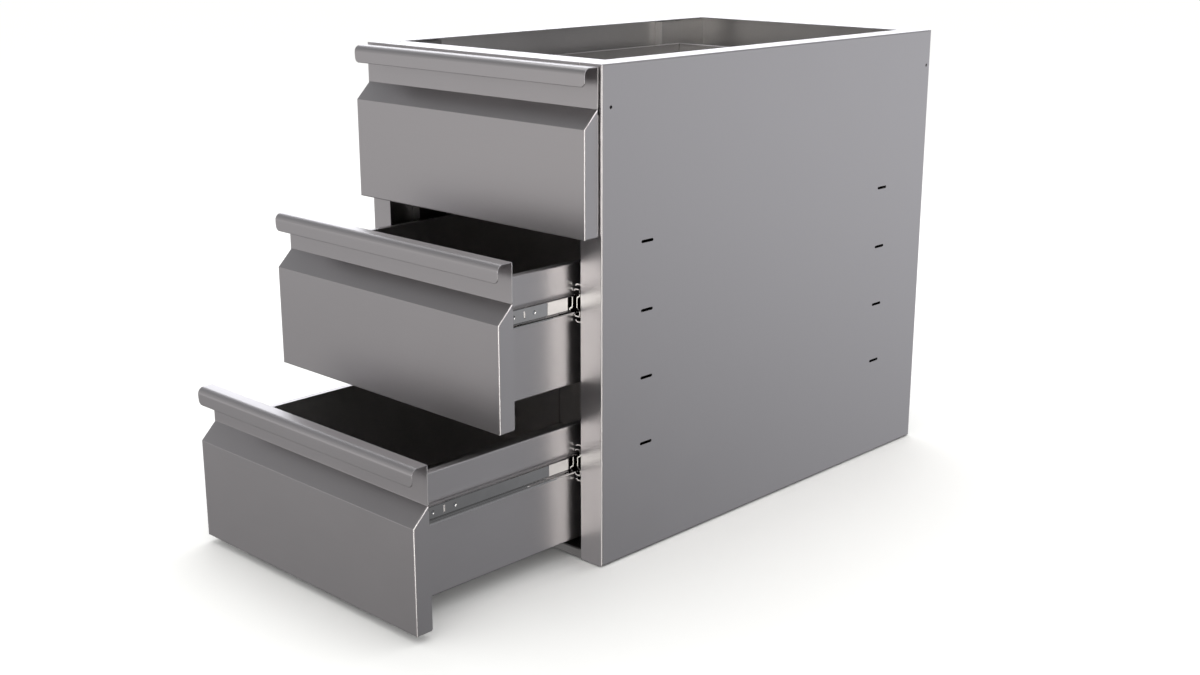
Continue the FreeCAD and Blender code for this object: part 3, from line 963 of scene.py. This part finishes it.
def makePost(start, finish):
    p = frameParts
    y0 = unit["front"] + start
    y1 = y0 + p["postWidth"]
    wall = unit["halfWidth"] - unit["sheet"] - unit["play"]
    face = unit["halfWidth"] - unit["sheet"] - p["postDepth"]
    path = [(wall, y0), (face, y0), (face, y1), (wall, y1)]
    foot = p["floorTop"] + unit["play"]
    piece = foldStrip("postMaster", "z", path, foot, p["postTop"], unit["sheet"], -1)
    easeEdges(piece, p["postEdge"])
    return finishPiece(piece, finish)


def makeBracket(z):
    p = frameParts
    t, play = unit["sheet"], unit["play"]
    crown, foot = p["crown"] / 2 - t, p["crown"] / 2 + p["crownFoot"]
    nearX = slide["mountX"] + play + t
    farX = unit["halfWidth"] - t - p["postDepth"] - play
    path = [(farX, z - foot), (farX, z - crown), (nearX, z - crown), (nearX, z + crown),
            (farX, z + crown), (farX, z + foot)]
    start, end = p["bracketStart"], p["postFront"][1] + p["postWidth"]
    piece = foldStrip("bracketMaster", "y", path, unit["front"] + start, unit["front"] + end, t, 1)
    cutAway(piece, [rivetHole(slide["mountX"], slide["front"] + y, z) for y in slide["rivets"]])
    return finishPiece(piece, millSteelAlong)


settle(makeRail(), "cabinet", "outer_sheet", "front_rail")
settle(makeBack(), "cabinet", "outer_sheet", "back_panel")
# the rear posts show from above and get the lighter copy, painted light; the front ones get the darker
# copy, painted shade
for name, start, finish in zip(("front", "rear"), frameParts["postFront"], (shadedMillSteelUp, litMillSteelUp)):
    master = makePost(start, finish)
    for side in ("right", "left"):
        node = "post_" + name + "_" + side
        post = copyPiece(master, node + "_sheet", mirrored=side == "left")
        settle(post, "cabinet", "frame_sheet", node)
    discard(master)
master = makeBracket(firstZ)
for d in drawers:
    for side in ("right", "left"):
        node = "bracket_" + d["name"] + "_" + side
        bracket = copyPiece(master, node + "_sheet", (0, 0, d["rim"] - firstRim), side == "left")
        settle(bracket, "cabinet", "frame_sheet", node)
discard(master)
print("rail, back, posts and brackets done")


# Nodes whose shape already serves keep it and get a better finish

finishes = {
    "bottom_panel": millSteelAlong,
    "slide_rivets": boltZinc,
    "drawer_fasteners": boltZinc,
    "buffers": bufferRubber,
}
for name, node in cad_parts.items():
    for start, material in finishes.items():
        if name.startswith(start):
            node.data.materials.clear()
            node.data.materials.append(material)


# Camera: the photograph's angle, worked out from the cabinet's corners

camera = {
    "place": (1.3355, -1.5040, 0.7390),
    "turn": (74.234, 0.0, 43.875),
    "lens": 46.17,
    "sensor": 36.0,
}
cameraData = bpy.data.cameras.new("camera")
cameraObject = bpy.data.objects.new("camera", cameraData)
bpy.context.collection.objects.link(cameraObject)
cameraData.lens = camera["lens"]
cameraData.sensor_width = camera["sensor"]
cameraObject.location = camera["place"]
cameraObject.rotation_euler = [math.radians(a) for a in camera["turn"]]
bpy.context.scene.camera = cameraObject
bpy.context.scene.view_settings.view_transform = "Standard"


# Studio: a pale floor that keeps the shadow, white behind the object, and for the metal's reflections a
# grey room, lightest at the horizon, with windows at the back left, beside the camera and up on the right.

studio = {
    "floor": "#f4f4f2",
    "floorSize": 24.0,
    "floorDrop": 0.0015,
    "floorLight": 1.12,
    "cool": "#f3f5fa",      # the room's far side
    "warm": "#fffcfb",      # and its near side, which lies this way and begins and is full at these cosines
    "warmSide": (0.40, -0.92, 0.0),
    "warmEnds": (-0.5, 0.7),
    "besideTint": "#fffef8",    # the tall window beside the camera
    # how bright the room is straight down, near the horizon, above it and overhead
    "down": 0.13,
    "nearHorizon": 0.53,
    "above": 0.42,
    "overhead": 0.22,
    # how high up it changes, as the sine of the angle over the horizon
    "downEnds": (-0.55, -0.05),
    "horizonEnds": (-0.03, 0.12),
    "aboveEnds": (0.32, 0.58),
    # windows: direction, the cosines from it where they begin and are full, and strength
    "back": ((-0.69, 0.72, 0.0), (0.6, 0.95), 2.4),
    "backRight": ((0.30, 0.954, 0.0), (0.78, 1.0), 0.38),
    "frontLeft": ((-0.30, -0.954, 0.0), (0.72, 0.95), 0.24),
    "beside": ((0.69, -0.72, 0.0), (0.93, 0.985), 3.3),
    "key": ((0.761, -0.152, 0.629), (0.84, 0.93), 2.2),     # only folds and corners reflect it
    # lower and upper ends of those that have them, as sines too
    "backRange": ((0.0, 0.06), (0.3, 0.5)),
    "besideRange": ((-0.52, -0.26), (0.05, 0.25)),
    "lowRange": (-0.02, 0.12),
}
softbox = {"place": (-0.6, 0.4, 3.2), "target": (0.0, 0.0, 0.3), "size": 2.4, "power": 35}

closeEdit()
bpy.ops.object.select_all(action="DESELECT")
bpy.ops.mesh.primitive_plane_add(size=studio["floorSize"], location=(0, 0, -studio["floorDrop"]))
floor = named("studioFloor")
floorMaterial, floorTree, floorShader = newMaterial("paleFloor", 0.0, 0.95)
floorShader.inputs["Base Color"].default_value = linear(studio["floor"])
floorShader.inputs["Specular IOR Level"].default_value = 0.0
floorPath = addNode(floorTree, "ShaderNodeLightPath")
floorClear = addNode(floorTree, "ShaderNodeBsdfTransparent")
floorMix = addNode(floorTree, "ShaderNodeMixShader")
floorTree.links.new(floorPath.outputs["Is Glossy Ray"], floorMix.inputs[0])
floorTree.links.new(floorShader.outputs["BSDF"], floorMix.inputs[1])
floorTree.links.new(floorClear.outputs["BSDF"], floorMix.inputs[2])
floorTree.links.new(floorMix.outputs["Shader"], floorTree.nodes["Material Output"].inputs["Surface"])
floor.data.materials.append(floorMaterial)

world = bpy.data.worlds.new("studioWorld")
bpy.context.scene.world = world
world.use_nodes = True
sky = world.node_tree
room = sky.nodes["Background"]
direction = addNode(sky, "ShaderNodeTexCoord").outputs["Generated"]
axes = addNode(sky, "ShaderNodeSeparateXYZ", None, {"Vector": direction})


def combine(operation, a, b):
    node = addNode(sky, "ShaderNodeMath", {"operation": operation})
    for i, value in enumerate((a, b)):
        if isinstance(value, bpy.types.NodeSocket):
            sky.links.new(value, node.inputs[i])
        else:
            node.inputs[i].default_value = value
    return node.outputs[0]


def level(source, ends, low, high):
    # runs smoothly from low to high while the source goes from one end to the other
    node = addNode(sky, "ShaderNodeMapRange", {"interpolation_type": "SMOOTHSTEP"}, {
        "Value": source, "From Min": ends[0], "From Max": ends[1], "To Min": low, "To Max": high})
    return node.outputs["Result"]


def between(source, ranges):
    low, high = ranges
    return combine("SUBTRACT", level(source, low, 0.0, 1.0), level(source, high, 0.0, 1.0))


def towards(way):
    node = addNode(sky, "ShaderNodeVectorMath", {"operation": "DOT_PRODUCT"})
    sky.links.new(direction, node.inputs[0])
    node.inputs[1].default_value = way
    return node.outputs["Value"]


def window(name):
    way, ends, strength = studio[name]
    return level(towards(way), ends, 0.0, strength)


height = axes.outputs["Z"]
horizon = studio["nearHorizon"]
rise = level(height, studio["downEnds"], studio["down"], horizon)
drop = level(height, studio["horizonEnds"], 0.0, horizon - studio["above"])
fall = level(height, studio["aboveEnds"], 0.0, studio["above"] - studio["overhead"])
base = combine("SUBTRACT", combine("SUBTRACT", rise, drop), fall)
backWindow = combine("MULTIPLY", window("back"), between(height, studio["backRange"]))
sides = combine("ADD", window("backRight"), window("frontLeft"))
lowSides = combine("MULTIPLY", sides, level(height, studio["lowRange"], 1.0, 0.0))
# the tall window beside the camera is as wide at every height, so its direction is levelled first
way, ends, besideStrength = studio["beside"]
flat = combine("POWER", combine("SUBTRACT", 1.0, combine("MULTIPLY", height, height)), 0.5)
beside = combine("MULTIPLY", between(height, studio["besideRange"]),
                 level(combine("DIVIDE", towards(way), flat), ends, 0.0, 1.0))
strength = combine("ADD", base, window("key"))
for light in (backWindow, lowSides, combine("MULTIPLY", beside, besideStrength)):
    strength = combine("ADD", strength, light)
path = addNode(sky, "ShaderNodeLightPath")
tint = addNode(sky, "ShaderNodeMix", {"data_type": "RGBA"})
sky.links.new(level(towards(studio["warmSide"]), studio["warmEnds"], 0.0, 1.0), tint.inputs["Factor"])
tint.inputs[6].default_value = linear(studio["cool"])
tint.inputs[7].default_value = linear(studio["warm"])
besideTint = addNode(sky, "ShaderNodeMix", {"data_type": "RGBA"})
sky.links.new(beside, besideTint.inputs["Factor"])
sky.links.new(tint.outputs[2], besideTint.inputs[6])
besideTint.inputs[7].default_value = linear(studio["besideTint"])
sky.links.new(besideTint.outputs[2], room.inputs["Color"])
sky.links.new(strength, room.inputs["Strength"])
plain = addNode(sky, "ShaderNodeBackground", None, {
    "Color": (1, 1, 1, 1), "Strength": studio["floorLight"]})
white = addNode(sky, "ShaderNodeBackground", None, {"Color": (1, 1, 1, 1), "Strength": 1.0})
glossyMix = addNode(sky, "ShaderNodeMixShader")
sky.links.new(path.outputs["Is Glossy Ray"], glossyMix.inputs[0])
sky.links.new(plain.outputs[0], glossyMix.inputs[1])
sky.links.new(room.outputs[0], glossyMix.inputs[2])
cameraMix = addNode(sky, "ShaderNodeMixShader")
sky.links.new(path.outputs["Is Camera Ray"], cameraMix.inputs[0])
sky.links.new(glossyMix.outputs[0], cameraMix.inputs[1])
sky.links.new(white.outputs[0], cameraMix.inputs[2])
sky.links.new(cameraMix.outputs[0], sky.nodes["World Output"].inputs["Surface"])

lampData = bpy.data.lights.new("overheadBox", "AREA")
lampData.size = softbox["size"]
lampData.energy = softbox["power"]
lamp = bpy.data.objects.new("overheadBox", lampData)
bpy.context.collection.objects.link(lamp)
lamp.location = softbox["place"]
lamp.rotation_mode = "QUATERNION"
aim = Vector(softbox["target"]) - Vector(softbox["place"])
lamp.rotation_quaternion = aim.to_track_quat("-Z", "Y")
print("studio ready")
